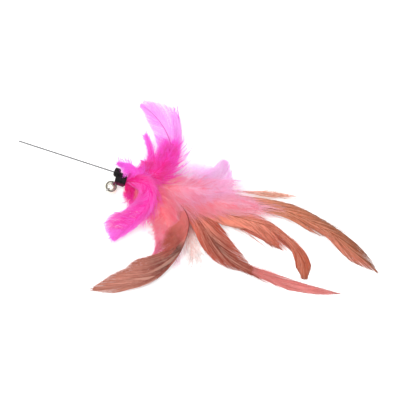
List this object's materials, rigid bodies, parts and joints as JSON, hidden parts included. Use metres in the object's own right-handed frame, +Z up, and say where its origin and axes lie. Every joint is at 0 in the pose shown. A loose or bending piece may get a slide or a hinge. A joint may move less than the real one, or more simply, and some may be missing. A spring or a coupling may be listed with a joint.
{
  "type": "cat teaser wand",
  "caption": "Feather and jingle-bell lure bound to the end of a thin steel wire, whose free end is held in a hand or handle.",
  "frame": {"origin": "centre of the wire's free end, on the wire's axis", "axes": "+X along the wire towards the feathers, +Z up from the table that the lure lies on"},
  "size_m": [0.2656, 0.1423, 0.0185],
  "materials": {
    "steel_wire": "drawn, satin",
    "black_binding": "matte black with a purple cast",
    "pink_thread": "wound thread",
    "black_ring": "satin black",
    "bell_steel": "satin",
    "bell_metal": "pale gold plating",
    "magenta_feather": "dyed down",
    "hot_pink_feather": "dyed down",
    "pale_pink_feather": "dyed down, thin",
    "coral_feather": "dyed down",
    "rust_feather": "dyed hackle"
  },
  "bodies": {
    "lure": {"wire": "steel_wire", "wire_sleeve": "black_binding", "quill_wrap": "black_binding", "thread_whipping": "pink_thread", "plume_knot_cover": "magenta_feather", "plume_dense": "hot_pink_feather", "plume_curl": "magenta_feather", "coral_fluff_low": "coral_feather", "plume_cup": "hot_pink_feather", "hackle_sickle": "rust_feather", "coral_fluff_long": "coral_feather", "coral_fluff_top": "coral_feather", "plume_thin": "pale_pink_feather", "plume_tall": "pale_pink_feather", "plume_under": "hot_pink_feather", "hackle_low_short": "rust_feather", "hackle_hooked": "rust_feather", "hackle_longest": "rust_feather", "plume_tall_inner": "pale_pink_feather", "hackle_low_long": "rust_feather", "hackle_middle": "rust_feather", "hackle_wisp": "rust_feather", "coral_strands": "coral_feather", "plume_petal": "pale_pink_feather", "plume_pale": "pale_pink_feather"},
    "ring": {"bell_ring": "black_ring"},
    "bell": {"bell_shackle": "bell_steel", "bell_upper_shell": "bell_metal", "bell_lower_shell": "bell_metal"},
    "ball": {"bell_ball": "bell_steel"}
  },
  "joints": [
    {"name": "ring_swing", "type": "hinge", "parent": "lure", "child": "ring", "pos_m": [0.07312, -0.0072, 0.0027], "axis": [-0.866, 0.5, 0], "range_deg": [0, 90]},
    {"name": "bell_swing", "type": "hinge", "parent": "ring", "child": "bell", "pos_m": [0.06972, -0.01309, 0.0027], "axis": [-0.866, 0.5, 0], "range_deg": [0, 110]},
    {"name": "ball_roll", "type": "hinge", "parent": "bell", "child": "ball", "pos_m": [0.07078, -0.01126, -0.00254], "axis": [-0.866, 0.5, 0], "continuous": true}
  ]
}
